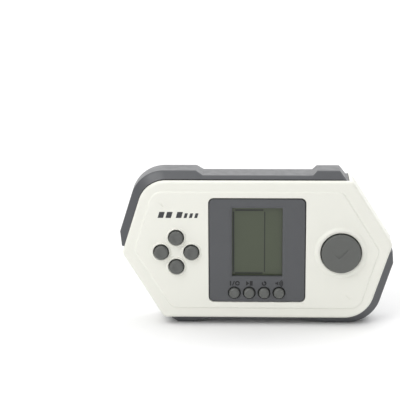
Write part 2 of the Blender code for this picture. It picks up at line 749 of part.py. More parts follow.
def cell_contacts():
    upper, lower = CELL_SPACING / 2, -CELL_SPACING / 2
    bridge = contact_plate("bridge_contact", -1, 0, 19.0)
    add(bridge, coil("bridge_coil", -25.4, 1, upper), dimple("bridge_dimple", -1, lower))
    negative = contact_plate("negative_contact", 1, lower, 8.4)
    add(negative, coil("negative_coil", 25.4, -1, lower))
    positive = contact_plate("positive_contact", 1, upper, 8.4)
    add(positive, dimple("positive_dimple", 1, upper))
    for name, piece, y in (("negative", negative, lower), ("positive", positive, upper)):
        add(piece, box(f"{name}_tail", (25.42, 25.68), (y - 1, y + 1), (-1, BOARD_BACK - GAP)))


# ---------------------------------------------------------------- fasteners


def screw_mesh(head, head_height, shank, length):
    """A cross-head screw that points along +height, with the underside of its head at 0."""
    profile = [(0, length), (shank * 0.4, length), (shank, length - 1.2), (shank, 0), (head, 0)]
    profile += [(head, 0.3 - head_height), (head - 0.4, -head_height), (0, -head_height)]
    piece = turned("screw", profile, STEEL, steps=12)
    arm = head * 0.62
    for i, (x, y) in enumerate(((arm, 0.25), (0.25, arm))):
        cut(piece, box(f"cross_{i}", (-x, x), (-y, y), (-head_height - 1, -head_height * 0.45)))
    return shared_mesh(piece)


def screws():
    long_screw = screw_mesh(2.4, 1.9, 1.1, 13.0)
    short_screw = screw_mesh(1.9, 1.2, 0.65, 6.0)
    door_screw = screw_mesh(2.3, 1.7, 1.1, 5.4)
    for i, at in enumerate(CASE_SCREWS, 1):
        fasten(f"case_screw_{i}", long_screw, at, -7.6)
    for i, at in enumerate(BOARD_SCREWS, 1):
        fasten(f"board_screw_{i}", short_screw, at, BOARD_BACK - GAP)
    fasten("door_screw", door_screw, DOOR_SCREW, -10.2)


def fasten(name, mesh, at, seat):
    """A screw at its place, with the underside of its head at the height of its seat."""
    screw = bpy.data.objects.new(name, mesh)
    screw.parent = UPRIGHT
    screw.location = (at[0] * MM, at[1] * MM, seat * MM)
    GAME.objects.link(screw)


front_shell()
rear_shell()
battery_door()
screen()
direction_buttons()
action_button()
function_buttons()
keypads()
board()
speaker()
cells()
cell_contacts()
screws()
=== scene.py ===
"""The looks of the handheld LCD game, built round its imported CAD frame.

Shapes are worked out lying on their back, in millimetres: x to the right, y up the face, and heights
towards the player. to_frame() then stands each point up in the frame, in metres."""

import math

import bmesh
import bpy
from mathutils import Matrix, Vector


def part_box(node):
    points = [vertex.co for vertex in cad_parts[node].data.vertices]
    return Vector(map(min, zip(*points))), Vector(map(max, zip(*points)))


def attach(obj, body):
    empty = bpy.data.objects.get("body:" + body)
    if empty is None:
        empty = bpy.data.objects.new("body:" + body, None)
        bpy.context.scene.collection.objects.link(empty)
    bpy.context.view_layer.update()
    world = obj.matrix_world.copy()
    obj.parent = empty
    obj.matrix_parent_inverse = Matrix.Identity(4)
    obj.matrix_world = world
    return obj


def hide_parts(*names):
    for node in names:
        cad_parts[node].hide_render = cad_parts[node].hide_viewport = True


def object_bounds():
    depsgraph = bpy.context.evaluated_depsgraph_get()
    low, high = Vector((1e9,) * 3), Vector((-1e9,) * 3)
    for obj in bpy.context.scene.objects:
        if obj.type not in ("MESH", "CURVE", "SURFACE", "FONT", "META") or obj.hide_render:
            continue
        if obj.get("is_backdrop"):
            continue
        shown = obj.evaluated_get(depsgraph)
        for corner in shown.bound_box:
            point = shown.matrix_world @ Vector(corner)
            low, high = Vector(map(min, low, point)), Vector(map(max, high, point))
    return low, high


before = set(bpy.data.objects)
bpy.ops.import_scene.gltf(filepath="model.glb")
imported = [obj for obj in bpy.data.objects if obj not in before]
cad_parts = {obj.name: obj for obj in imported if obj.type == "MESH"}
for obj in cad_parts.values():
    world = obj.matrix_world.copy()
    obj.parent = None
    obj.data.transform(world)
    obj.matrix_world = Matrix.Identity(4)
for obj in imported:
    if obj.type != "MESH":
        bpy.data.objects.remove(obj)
cad_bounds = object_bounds()

MM = 0.001
FINE = 3  # steps in each arc, for each step that the CAD outline has
ROUND = 72  # steps round a turned piece
BEND_STEPS = 5
STRAIGHT = 0.9999  # the cosine of half a turn so small that a corner counts as straight
LEAST_RADIUS = 0.2

# Heights of the faces, from the middle of the body
BORDER = 11.5
PANEL = 12.1
SEAM = 9.0
WALL_END = -8.0
BACK = -12.0
BACK_BEVEL = 4.0
WALL = 2.0
GAP = 0.3
SKIRT_END = -7.4
COLLAR_ROOT = 10.4
BOSS_END = -1.0
FLANGE = PANEL - WALL - GAP  # the top of each flange that keeps a piece in behind the face

# The frame says where those heights and the middle of the face lie
rear_low, rear_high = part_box("rear_shell")
FACE_MIDDLE = (rear_low.z + rear_high.z) / 2 / MM
DEPTH_MIDDLE = rear_high.y / MM + BACK


def to_frame(point):
    """A point at (x, y, height) in millimetres, as a place in the frame."""
    x, y, height = point
    return Vector((x, DEPTH_MIDDLE - height, y + FACE_MIDDLE)) * MM


def place_of(node):
    """The middle of a CAD node on the face, in millimetres."""
    low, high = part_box(node)
    return (low.x + high.x) / 2 / MM, (low.z + high.z) / 2 / MM - FACE_MIDDLE


def top_of(node):
    """How high a CAD node reaches towards the player, in millimetres."""
    return DEPTH_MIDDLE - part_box(node)[0].y / MM


# ---------------------------------------------------------------- outlines

# Corners as (x, y, radius, arc steps), clockwise from the left point
LEAN = 0.3194  # sideways run of the steep edges for each mm of height
HALF_LENGTH = 75.4
FACE_TOP = 39.1
FEET = 43.7
WAIST = 41.4


def opposite(corner):
    """The corner turned half round the middle of the face."""
    return (-corner[0], -corner[1], corner[2], corner[3])


def turned_half(corners):
    """The corners and the same corners turned half round, which closes the outline."""
    return corners + [opposite(corner) for corner in corners]


FACE = [
    (-73.9, -2.0, 4.0, 4),
    (-60.8, FACE_TOP, 15.5, 8),
    (51.9, FACE_TOP, 3.0, 3),
    (74.3, 3.4, 3.5, 4),
    (60.5, -FACE_TOP, 16.5, 8),
    (-51.4, -FACE_TOP, 4.0, 3),
]
RAISED_PANEL = turned_half([(-66.7, 0.0, 4.0, 4), (-56.6, 32.9, 6.8, 8), (46.4, 32.9, 5.0, 3)])

# The rear shell's widest outline, and under each corner the one that its front bevel rises to
SIDE_TIP = (-HALF_LENGTH, 8.8, 1.0, 2)
SIDE_TIP_IN = (-70.48, 7.3, 1.0, 2)
SHOULDER = (-HALF_LENGTH + (FEET - 8.8) * LEAN, FEET, 18.8, 8)
SHOULDER_IN = FACE[1]
CROWN = [
    (-33.1, FEET, 1.5, 1),
    (-29.3, WAIST, 1.5, 1),
    (30.5, WAIST, 1.0, 1),
    (32.9, FEET, 1.0, 1),
    (45.2, FEET, 1.0, 1),
    (48.8, FACE_TOP, 0.5, 1),
    FACE[2],
    FACE[3],
]
CROWN_IN = [
    (-33.8, FACE_TOP, 1.5, 1),
    (-29.3, FACE_TOP, 1.5, 1),
    (30.5, FACE_TOP, 1.0, 1),
    (33.8, FACE_TOP, 1.0, 1),
    (47.0, FACE_TOP, 0.6, 1),
    (48.8, FACE_TOP, 0.6, 1),
    FACE[2],
    FACE[3],
]
BASE = [
    (38.9, -FEET, 4.0, 2),
    (25.1, -WAIST, 4.0, 2),
    (-24.9, -WAIST, 4.0, 2),
    (-35.3, -FEET, 4.0, 2),
    (-43.9, -FEET, 1.0, 1),
    (-48.7, -FACE_TOP, 0.5, 1),
    FACE[5],
    FACE[0],
]
BASE_IN = [
    (38.9, -FACE_TOP, 4.0, 2),
    (25.1, -FACE_TOP, 4.0, 2),
    (-24.9, -FACE_TOP, 4.0, 2),
    (-35.3, -FACE_TOP, 4.0, 2),
    (-46.0, -FACE_TOP, 0.6, 1),
    (-48.7, -FACE_TOP, 0.6, 1),
    FACE[5],
    FACE[0],
]
GRIP = [SIDE_TIP, SHOULDER, *CROWN, opposite(SIDE_TIP), opposite(SHOULDER), *BASE]
GRIP_IN = [SIDE_TIP_IN, SHOULDER_IN, *CROWN_IN, opposite(SIDE_TIP_IN), FACE[4], *BASE_IN]


def outline(corners, fine=FINE):
    """The points of a closed outline, with each corner turned into an arc."""
    points = []
    for i, (x, y, radius, steps) in enumerate(corners):
        steps = steps * fine
        here = Vector((x, y))
        back = (Vector(corners[i - 1][:2]) - here).normalized()
        ahead = (Vector(corners[(i + 1) % len(corners)][:2]) - here).normalized()
        half = back.angle(ahead) / 2
        if half > math.radians(89.5):  # a straight run: the points are spread along it
            points += [here + ahead * radius * (k / steps - 0.5) for k in range(steps + 1)]
            continue
        centre = here + (back + ahead).normalized() * radius / math.sin(half)
        start = here + back * radius / math.tan(half) - centre
        turn = math.pi - 2 * half
        if back.x * ahead.y - back.y * ahead.x > 0:
            turn = -turn
        for k in range(steps + 1):
            points.append(centre + Matrix.Rotation(turn * k / steps, 2) @ start)
    return points


def offset(corners, distance):
    """The corners of the outline moved outwards by a distance, or inwards by a negative one."""
    moved = []
    for i, (x, y, radius, steps) in enumerate(corners):
        here = Vector((x, y))
        come = (here - Vector(corners[i - 1][:2])).normalized()
        go = (Vector(corners[(i + 1) % len(corners)][:2]) - here).normalized()
        normals = Vector((-come.y, come.x)), Vector((-go.y, go.x))
        spread = (normals[0] + normals[1]).normalized()
        corner = here + spread * distance / spread.dot(normals[0])
        convex = come.x * go.y - come.y * go.x < 0
        if abs(spread.dot(normals[0])) < STRAIGHT:
            radius = max(radius + (distance if convex else -distance), LEAST_RADIUS)
        moved.append((corner.x, corner.y, radius, steps))
    return moved


def rectangle(centre, size, radius, steps=3):
    """The corners of a rounded rectangle, clockwise."""
    x, y = centre
    w, h = size[0] / 2, size[1] / 2
    return [(x + sx * w, y + sy * h, radius, steps) for sx, sy in ((-1, -1), (-1, 1), (1, 1), (1, -1))]


# ---------------------------------------------------------------- shapes


def new_object(name, shape):
    """An object from a bmesh worked out in millimetres."""
    for vertex in shape.verts:
        vertex.co = to_frame(vertex.co)
    bmesh.ops.recalc_face_normals(shape, faces=shape.faces)
    mesh = bpy.data.meshes.new(name)
    shape.to_mesh(mesh)
    shape.free()
    obj = bpy.data.objects.new(name, mesh)
    bpy.context.scene.collection.objects.link(obj)
    return obj


def level(corners, height, fine=FINE):
    """An outline's points at one height."""
    return [Vector((*point, height)) for point in outline(corners, fine)]


def softened(rings, bends):
    """The rings, with each inner one that has a bend length turned into a curve of that reach."""
    result = [rings[0]]
    for before, ring, after, bend in zip(rings, rings[1:], rings[2:], bends):
        if not bend:
            result.append(ring)
            continue
        for k in range(BEND_STEPS + 1):
            t = k / BEND_STEPS
            curve = []
            for a, b, c in zip(before, ring, after):
                start = b + (a - b) * min(bend / (a - b).length, 0.48)
                end = b + (c - b) * min(bend / (c - b).length, 0.48)
                curve.append(start * (1 - t) ** 2 + b * 2 * t * (1 - t) + end * t * t)
            result.append(curve)
    result.append(rings[-1])
    return result


def loft(name, rings, bends=()):
    """A closed solid through rings that match point for point."""
    shape = bmesh.new()
    rings = softened(rings, bends) if bends else rings
    loops = [[shape.verts.new(point) for point in ring] for ring in rings]
    for low, high in zip(loops, loops[1:]):
        for i in range(len(low)):
            shape.faces.new((low[i - 1], low[i], high[i], high[i - 1]))
    shape.faces.new(loops[0])
    shape.faces.new(loops[-1])
    return new_object(name, shape)


def plate(name, corners, low, high, fine=FINE):
    """A flat outline between two heights."""
    return loft(name, [level(corners, low, fine), level(corners, high, fine)])


def polygon(name, corners, low, high):
    """A solid with sharp corners between two heights."""
    return loft(name, [[Vector((*corner, height)) for corner in corners] for height in (low, high)])


def box(name, x, y, heights):
    """A block between pairs of limits."""
    corners = [(x[0], y[0]), (x[0], y[1]), (x[1], y[1]), (x[1], y[0])]
    return polygon(name, corners, *heights)


def turned(name, profile, at=(0, 0), steps=ROUND, axis=None):
    """A round piece from half its profile, as (radius, height). It is closed on the axis, or is a ring.

    It stands on the face at a place, unless axis gives a matrix that lays it elsewhere."""
    shape = bmesh.new()
    ring = profile[0][0] > 0
    loops = []
    for radius, height in profile:
        if radius == 0:
            loops.append([shape.verts.new((0, 0, height))])
            continue
        turns = [2 * math.pi * k / steps for k in range(steps)]
        loops.append([shape.verts.new((radius * math.cos(a), radius * math.sin(a), height)) for a in turns])
    pairs = list(zip(loops, loops[1:]))
    if ring:
        pairs.append((loops[-1], loops[0]))
    for one, two in pairs:
        for k in range(steps):
            corners = [one[(k - 1) % len(one)], one[k % len(one)]]
            corners += [two[k % len(two)], two[(k - 1) % len(two)]]
            shape.faces.new(list(dict.fromkeys(corners)))  # a point on the axis counts once
    move = axis or Matrix.Translation((*at, 0))
    bmesh.ops.transform(shape, matrix=move, verts=shape.verts)
    return new_object(name, shape)


def arc(centre, radius, start, end, steps=BEND_STEPS):
    """Points on an arc between two angles in degrees, for a profile."""
    for k in range(steps + 1):
        angle = math.radians(start + (end - start) * k / steps)
        yield centre[0] + radius * math.cos(angle), centre[1] + radius * math.sin(angle)


def rod(name, at, radius, low, high, steps=48):
    """A solid cylinder between two heights."""
    return turned(name, [(0, high), (radius, high), (radius, low), (0, low)], at, steps)


def combine(target, others, operation):
    """Boolean steps that are made at once; the other objects are used up."""
    for other in others:
        step = target.modifiers.new(other.name, "BOOLEAN")
        step.operation = operation
        step.object = other
        step.solver = "MANIFOLD"
    bpy.context.view_layer.update()
    graph = bpy.context.evaluated_depsgraph_get()
    mesh = bpy.data.meshes.new_from_object(target.evaluated_get(graph))
    target.modifiers.clear()
    target.data = mesh
    for other in others:
        bpy.data.objects.remove(other)


def cut(target, *others):
    """Takes the others away from the target."""
    combine(target, others, "DIFFERENCE")


def add(target, *others):
    """Joins the others to the target."""
    combine(target, others, "UNION")


def shaded(obj, angle=32):
    """Smooth shading that keeps flat faces flat."""
    obj.data.shade_smooth()
    obj.data.set_sharp_from_angle(angle=math.radians(angle))
    even = obj.modifiers.new("even", "WEIGHTED_NORMAL")
    even.keep_sharp = True
    even.weight = 100


def piece(obj, material, body, slot, *nodes):
    """Finishes a piece: its material, the body it rides on, and the CAD nodes it stands for."""
    obj.data.materials.clear()
    obj.data.materials.append(material)
    shaded(obj)
    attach(obj, body)
    if nodes:
        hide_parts(*nodes)
    return obj


# ---------------------------------------------------------------- materials


def principled(name, colour, roughness, metallic=0.0):
    material = bpy.data.materials.new(name)
    material.use_nodes = True
    shader = material.node_tree.nodes["Principled BSDF"]
    shader.inputs["Base Color"].default_value = (*colour, 1.0)
    shader.inputs["Roughness"].default_value = roughness
    shader.inputs["Metallic"].default_value = metallic
    return material, shader


def noise(tree, scale, detail=3.0):
    """Noise in the frame's own coordinates; scale is in features for each metre."""
    coordinates = tree.nodes.new("ShaderNodeTexCoord")
    texture = tree.nodes.new("ShaderNodeTexNoise")
    texture.inputs["Scale"].default_value = scale
    texture.inputs["Detail"].default_value = detail
    tree.links.new(coordinates.outputs["Object"], texture.inputs["Vector"])
    return texture.outputs["Fac"]


def vary_colour(material, shader, colour, amount, scale):
    """Slow changes of the colour, darker and lighter by an amount."""
    tree = material.node_tree
    mix = tree.nodes.new("ShaderNodeMix")
    mix.data_type = "RGBA"
    mix.inputs["A"].default_value = (*[c * (1 - amount) for c in colour], 1)
    mix.inputs["B"].default_value = (*[min(c * (1 + amount), 1) for c in colour], 1)
    tree.links.new(noise(tree, scale), mix.inputs["Factor"])
    tree.links.new(mix.outputs["Result"], shader.inputs["Base Color"])


def vary_roughness(material, shader, low, high, scale):
    tree = material.node_tree
    spread = tree.nodes.new("ShaderNodeMapRange")
    spread.inputs["From Min"].default_value = 0.3
    spread.inputs["From Max"].default_value = 0.7
    spread.inputs["To Min"].default_value = low
    spread.inputs["To Max"].default_value = high
    tree.links.new(noise(tree, scale), spread.inputs["Value"])
    tree.links.new(spread.outputs["Result"], shader.inputs["Roughness"])


def grain(material, shader, scale, depth, strength):
    """The fine texture of a moulding tool."""
    tree = material.node_tree
    bump = tree.nodes.new("ShaderNodeBump")
    bump.inputs["Strength"].default_value = strength
    bump.inputs["Distance"].default_value = depth
    tree.links.new(noise(tree, scale, 2.0), bump.inputs["Height"])
    tree.links.new(bump.outputs["Normal"], shader.inputs["Normal"])


def plastic(name, colour, roughness, texture=0.25):
    """Moulded plastic: a fine spark-eroded texture, and slight changes of colour and gloss."""
    material, shader = principled(name, colour, roughness)
    vary_colour(material, shader, colour, 0.012, 45)
    vary_roughness(material, shader, roughness - 0.04, roughness + 0.05, 260)
    grain(material, shader, 3200, 0.00003, texture)
    return material


def metal(name, colour, roughness):
    material, shader = principled(name, colour, roughness, 1.0)
    vary_roughness(material, shader, roughness - 0.06, roughness + 0.1, 900)
    grain(material, shader, 5000, 0.00001, 0.2)
    return material


WHITE = plastic("warm_white_plastic", (0.785, 0.785, 0.72), 0.42, 0.18)
DARK_GREY = plastic("dark_grey_plastic", (0.077, 0.08, 0.086), 0.36, 0.3)
BEZEL_GREY = plastic("bezel_grey_plastic", (0.076, 0.079, 0.085), 0.46, 0.3)
BUTTON_GREY = plastic("button_grey_plastic", (0.1, 0.104, 0.098), 0.45, 0.22)
INK = plastic("print_ink", (0.035, 0.037, 0.04), 0.5, 0.1)
BEZEL_INK = plastic("bezel_print_ink", (0.006, 0.006, 0.007), 0.55, 0.1)
SEGMENT = plastic("display_print", (0.016, 0.02, 0.014), 0.4, 0.1)
RUBBER = plastic("keypad_rubber", (0.5, 0.51, 0.5), 0.75, 0.1)
CARBON = plastic("carbon_rubber", (0.02, 0.02, 0.02), 0.7, 0.1)
LAMINATE = plastic("board_laminate", (0.42, 0.27, 0.1), 0.5, 0.1)
EPOXY = plastic("black_epoxy", (0.01, 0.01, 0.01), 0.3, 0.1)
RED_WIRE = plastic("red_wire", (0.5, 0.02, 0.02), 0.4, 0.1)
BLACK_WIRE = plastic("black_wire", (0.02, 0.02, 0.02), 0.4, 0.1)
STEEL = metal("zinc_steel", (0.62, 0.62, 0.6), 0.32)
FOIL = metal("reflector_foil", (0.75, 0.76, 0.72), 0.35)


def display_material():
    """Grey-green liquid crystal under a smooth film, with the faint cloudiness of its reflector."""
    colour = (0.052, 0.064, 0.036)
    material, shader = principled("display_film", colour, 0.3)
    vary_colour(material, shader, colour, 0.06, 70)
    shader.inputs["Coat Weight"].default_value = 0.1
    shader.inputs["Coat Roughness"].default_value = 0.12
    grain(material, shader, 2600, 0.00001, 0.1)
    return material


def glass_material():
    material, shader = principled("display_glass", (0.62, 0.7, 0.62), 0.12)
    shader.inputs["Transmission Weight"].default_value = 0.8
    grain(material, shader, 900, 0.00001, 0.05)
    return material


def jacket_material():
    """The dark glossy film round a cell."""
    material, shader = principled("cell_jacket", (0.02, 0.02, 0.022), 0.3)
    vary_colour(material, shader, (0.03, 0.05, 0.09), 0.08, 60)
    vary_roughness(material, shader, 0.25, 0.35, 400)
    shader.inputs["Coat Weight"].default_value = 0.4
    return material


DISPLAY = display_material()
GLASS = glass_material()
JACKET = jacket_material()


# ---------------------------------------------------------------- front shell

DIRECTION_NODES = ("up", "down", "left", "right")
FUNCTION_NODES = ("power", "pause", "reset", "sound")
CASE_SCREWS = [f"case_screw_{i}" for i in range(1, 7)]
BOARD_SCREWS = [f"board_screw_{i}" for i in range(1, 5)]
CASE_POST = (3.2, 1.45)  # outer and bore radius
BOARD_POST = (2.5, 1.0)
POST_TOP = PANEL - WALL + 0.7  # well into the thickness of the face
FRONT_FILLET = 1.6
FILLET_STEPS = 8
DIRECTION_HOLE = 4.35
ACTION_HOLE = 11.3
ACTION_RISE_STEPS = 16
BEZEL_SIZE = (53.3, 59.6)
BEZEL_CENTRE = (0.3, 0.1)
OPENING_EDGE = 0.3
SKIRT_START = 50.2  # how far from the middle each skirt starts
SKIRT_FOOT = 1.0
BEYOND = (90, 60)  # outside every outline
DASHES = ((-51.7, 26.1), (50.6, -26.4))
DASH_SIZE = (3.0, 0.8)


def direction_collar():
    """The rim round a direction button's hole, which rises from the panel in a soft hollow."""
    top, inner, outer = 12.9, DIRECTION_HOLE, 5.3
    hollow = 0.36
    foot = outer + 0.7
    middle = (inner + outer) / 2
    half = (outer - inner) / 2
    profile = [(inner, COLLAR_ROOT), (inner, top - half)]
    profile += list(arc((middle, top - half), half, 180, 0, 10))[1:]
    profile += list(arc((outer + hollow, PANEL + 0.35), hollow, 180, 262, 6))
    return profile + [(foot, PANEL - 0.03), (foot, COLLAR_ROOT)]


def action_collar():
    """The wide soft rise round the action button."""
    top, inner, crest, foot = 13.1, ACTION_HOLE, 12.3, 14.9
    edge = 0.35
    low = PANEL - 0.02
    profile = [(inner, COLLAR_ROOT), (inner, top - edge)]
    profile += list(arc((inner + edge, top - edge), edge, 180, 90, 6))[1:]
    for k in range(ACTION_RISE_STEPS + 1):
        t = k / ACTION_RISE_STEPS
        height = low + (top - low) * (0.5 + 0.5 * math.cos(math.pi * t))
        profile.append((crest + (foot - crest) * t, height))
    return profile + [(foot, COLLAR_ROOT)]


def beside_skirts(play=0.0):
    """Corners round all but the two places where a skirt hangs; play makes those places larger."""
    start = SKIRT_START - play
    foot = SKIRT_FOOT + play
    far_x, far_y = BEYOND
    corners = [(-start, -far_y), (-start, foot), (-far_x, foot), (-far_x, far_y)]
    return corners + [(-x, -y) for x, y in corners]


def bezel_opening():
    """What is cut away for the screen's bezel, with a rounded upper edge."""
    opening = rectangle(BEZEL_CENTRE, BEZEL_SIZE, 3.0)
    edge = arc((OPENING_EDGE, PANEL - OPENING_EDGE), OPENING_EDGE, 180, 90)
    rings = [level(opening, 0), *[level(offset(opening, x), height) for x, height in edge]]
    rings.append(level(offset(opening, OPENING_EDGE), PANEL + 3))
    return loft("bezel_opening", rings)


def dash(at):
    """A short slanted dash to engrave in the panel."""
    turn = Matrix.Translation((*at, 0)) @ Matrix.Rotation(math.radians(-45), 4, "Z")
    corners = rectangle((0, 0), DASH_SIZE, 0.38, 2)
    rings = [level(corners, PANEL - 0.25), level(corners, PANEL - 0.1)]
    rings.append(level(offset(corners, 0.3), PANEL + 0.2))
    return loft("dash", [[turn @ point for point in ring] for ring in rings])


def front_casing():
    rings = [level(FACE, SKIRT_END)]
    for k in range(FILLET_STEPS + 1):
        angle = math.radians(90 * k / FILLET_STEPS)
        inwards = FRONT_FILLET * (1 - math.cos(angle))
        rings.append(level(offset(FACE, -inwards), BORDER - FRONT_FILLET * (1 - math.sin(angle))))
    foot = level(offset(RAISED_PANEL, PANEL - BORDER), BORDER)
    inner = level(offset(RAISED_PANEL, -1.5), PANEL)
    rings += softened([rings[-1], foot, level(RAISED_PANEL, PANEL), inner], (0.35, 0.45))[1:]
    shell = loft("front_casing", rings)
    cavity = plate("cavity", offset(FACE, -WALL), SKIRT_END - 5, BORDER - WALL)
    recess = plate("panel_recess", offset(RAISED_PANEL, -0.8), SEAM - 2, PANEL - WALL)
    below = polygon("below", beside_skirts(), SKIRT_END - 9, SEAM)
    cut(shell, cavity, recess, below)
    cut(shell, bezel_opening())

    at = place_of("action_button")
    cut(shell, rod("action_hole", at, ACTION_HOLE + 1.0, 0, 20, 96))
    add(shell, turned("action_collar", action_collar(), at, 96))
    for name in DIRECTION_NODES:
        at = place_of(f"{name}_button")
        cut(shell, rod("hole", at, DIRECTION_HOLE + 0.45, 0, 20))
        add(shell, turned("collar", direction_collar(), at))
    for at in DASHES:
        cut(shell, dash(at))

    posts = [(node, *CASE_POST, BOSS_END) for node in CASE_SCREWS]
    posts += [(node, *BOARD_POST, top_of("main_board") + GAP) for node in BOARD_SCREWS]
    for node, radius, bore, low in posts:
        profile = [(bore, POST_TOP), (bore, low), (radius, low), (radius, POST_TOP)]
        add(shell, turned("post", profile, place_of(node), 32))
    return piece(shell, WHITE, "casing", "white_plastic", "front_shell")


# ---------------------------------------------------------------- rear shell

BEVEL_SLOPE = 0.66  # how far the front bevel drops for each mm that it runs outwards
BEVEL_LEAST = 0.7
GROOVE_WIDTH = 0.45  # round the front casing's edge
GROOVE_DEPTH = 1.0
BAY = (26.0, 11.1)  # half length, half width
BAY_FLOOR = 0.7
DOOR_INNER = -10.4
DOOR = rectangle((-4.2, 0), (65.6, 26.0), 2.0)
DOOR_EDGE = 0.25
TOWER_RADIUS = 4.1
DOOR_POST = (5.4, -9.5, -3.5)  # radius, and the heights between which it stands
CUP_ROOM = 3.9
SCREW_BORE = 1.45
RECESS_EDGE = 0.3
GRILLE_RADIUS = 8.0
SLOT_PITCH = 3.2
SLOT_HEIGHT = 1.3
GRIPS = 5
GRIP_START = 15.0
GRIP_PITCH = 2.2
GRIP_SIZE = (0.9, 14.0)


def ridge():
    """The foot of the front bevel, which lies further back where the bevel is wider."""
    for outer, inner in zip(outline(GRIP), outline(GRIP_IN)):
        drop = max(BEVEL_SLOPE * (outer - inner).length, BEVEL_LEAST)
        yield Vector((*outer, SEAM - GAP - drop))


def groove():
    """The groove along the front casing's edge: its bottom, and where the bevel starts."""
    bottom, edge = [], []
    for outer, inner in zip(outline(GRIP), outline(GRIP_IN)):
        run = outer - inner
        depth = GROOVE_DEPTH if run.length > GROOVE_WIDTH else GROOVE_DEPTH / 50
        start = inner + run.normalized() * min(GROOVE_WIDTH, run.length / 2)
        bottom.append(Vector((*inner, SEAM - GAP - depth)))
        edge.append(Vector((*start, SEAM - GAP)))
    return bottom, edge


def screw_recess(name, at, radius, seat):
    """What is cut away for a screw's head, with a chamfer at the back of the casing."""
    wide = radius + RECESS_EDGE
    profile = [(0, seat), (radius, seat), (radius, BACK + RECESS_EDGE)]
    profile += [(wide, BACK), (wide, BACK - 2), (0, BACK - 2)]
    return turned(name, profile, at, 48)


def skirt_room():
    """The room that each skirt takes from the rear casing."""
    room = plate("skirt_room", offset(FACE, 4.0), SKIRT_END - GAP, SEAM + 5)
    cut(room, plate("skirt_inside", offset(FACE, -WALL - GAP), SKIRT_END - 3, SEAM + 9))
    cut(room, polygon("keep", beside_skirts(GAP), SKIRT_END - 4, SEAM + 9))
    return room


def battery_bay(shell):
    """The well for the cells, the ledge that the door lies on, and the post for its screw."""
    half_length, half_width = BAY
    add(shell, box("well", (-27.4, 27.4), (-12.4, 12.4), (BACK + 0.5, BAY_FLOOR + 1.2)))
    add(shell, plate("ledge", offset(DOOR, 1.8), BACK + 0.5, -8.6))
    cut(shell, box("bay", (-half_length, half_length), (-half_width, half_width), (BACK - 5, BAY_FLOOR)))
    snug = offset(DOOR, GAP)
    wide = offset(DOOR, GAP + DOOR_EDGE)
    rings = [level(snug, DOOR_INNER + GAP), level(snug, BACK + DOOR_EDGE), level(wide, BACK)]
    cut(shell, loft("door_room", [*rings, level(wide, BACK - 5)]))
    tail = place_of("positive_contact")[1]
    for y in (tail, -tail):
        cut(shell, box("tail_slot", (24.0, 26.0), (y - 1.5, y + 1.5), (-1, 4)))
    at = place_of("door_screw")
    add(shell, rod("door_post", at, *DOOR_POST))
    cut(shell, rod("cup_room", at, CUP_ROOM, BACK - 5, -8.3))
    cut(shell, rod("post_bore", at, SCREW_BORE, -9.5, -4.2))


def speaker_grille(shell):
    """The ring that holds the speaker, and the slots that let its sound out."""
    floor_height = BACK + WALL
    x, y = place_of("speaker")
    outer, inner = 12.9, 11.9
    ring = [(outer, -6.0), (outer, floor_height - 0.5), (inner, floor_height - 0.5), (inner, -6.0)]
    add(shell, turned("speaker_ring", ring, (x, y)))
    for row in range(-2, 3):
        rise = row * SLOT_PITCH
        reach = math.sqrt(GRILLE_RADIUS**2 - rise**2)
        slot = rectangle((x, y + rise), (2 * reach, SLOT_HEIGHT), 0.6, 2)
        rings = [level(offset(slot, 0.35), BACK - 1), level(offset(slot, 0.3), BACK)]
        rings += [level(slot, BACK + 0.35), level(slot, floor_height + 1)]
        cut(shell, loft("sound_slot", rings))


def rear_casing():
    rings = [
        *groove(),
        list(ridge()),
        level(GRIP, WALL_END),
        level(offset(GRIP, -BACK_BEVEL), BACK),
        level(offset(GRIP, -5.5), BACK),
    ]
    shell = loft("rear_casing", rings, (0.15, 0.7, 1.2, 1.0))
    floor_height = BACK + WALL
    cut(shell, plate("rear_inside", offset(FACE, -4.3), floor_height, SEAM + 5))
    cut(shell, skirt_room())
    battery_bay(shell)
    for node in CASE_SCREWS:
        at = place_of(node)
        add(shell, rod("tower", at, TOWER_RADIUS, floor_height - 0.5, BOSS_END - GAP))
        bore = rod("tower_bore", at, SCREW_BORE, -8, 5, 24)
        cut(shell, screw_recess("tower_head", at, 2.9, -7.3), bore)
    speaker_grille(shell)
    return piece(shell, DARK_GREY, "casing", "dark_plastic", "rear_shell")


def battery_cover():
    """The door, with grip grooves and a cup for its screw."""
    rings = [level(DOOR, DOOR_INNER), level(DOOR, BACK), level(offset(DOOR, -2.0), BACK)]
    door = loft("battery_cover", rings, (0.35,))
    at = place_of("door_screw")
    add(door, rod("cup", at, 3.6, -10.8, -8.6))
    bore = rod("cup_bore", at, SCREW_BORE, -11, -8, 24)
    cut(door, screw_recess("cup_head", at, 2.7, -9.9), bore)
    for i in range(GRIPS):
        grip = rectangle((GRIP_START + i * GRIP_PITCH, 0), GRIP_SIZE, 0.4, 2)
        wide = offset(grip, 0.25)
        rings = [level(grip, BACK + 0.5), level(grip, BACK + 0.2)]
        rings += [level(wide, BACK - 0.05), level(wide, BACK - 1)]
        cut(door, loft("grip", rings))
    return piece(door, DARK_GREY, "door", "dark_plastic", "battery_door")


# ---------------------------------------------------------------- screen

WINDOW_SIZE = (27.6, 39.0)
WINDOW_CENTRE = (0.35, 4.6)
WINDOW_SLOPE = 1.4
WINDOW_DEPTH = 0.5
BEZEL_BACK = 8.6
BEZEL_EDGE = 0.45
BEZEL_PLAY = 0.3
BEZEL_SHIFT = (-0.05, -0.15)  # how it lies in its opening
FUNCTION_HOLE = 3.45
FIELD_LEFT = -12.3
FIELD_RIGHT = 4.4
FIELD_TOP = 22.4
FIELD_BOTTOM = -13.7
FIELD_CORNER = 0.8
PRINT_THICKNESS = 0.04


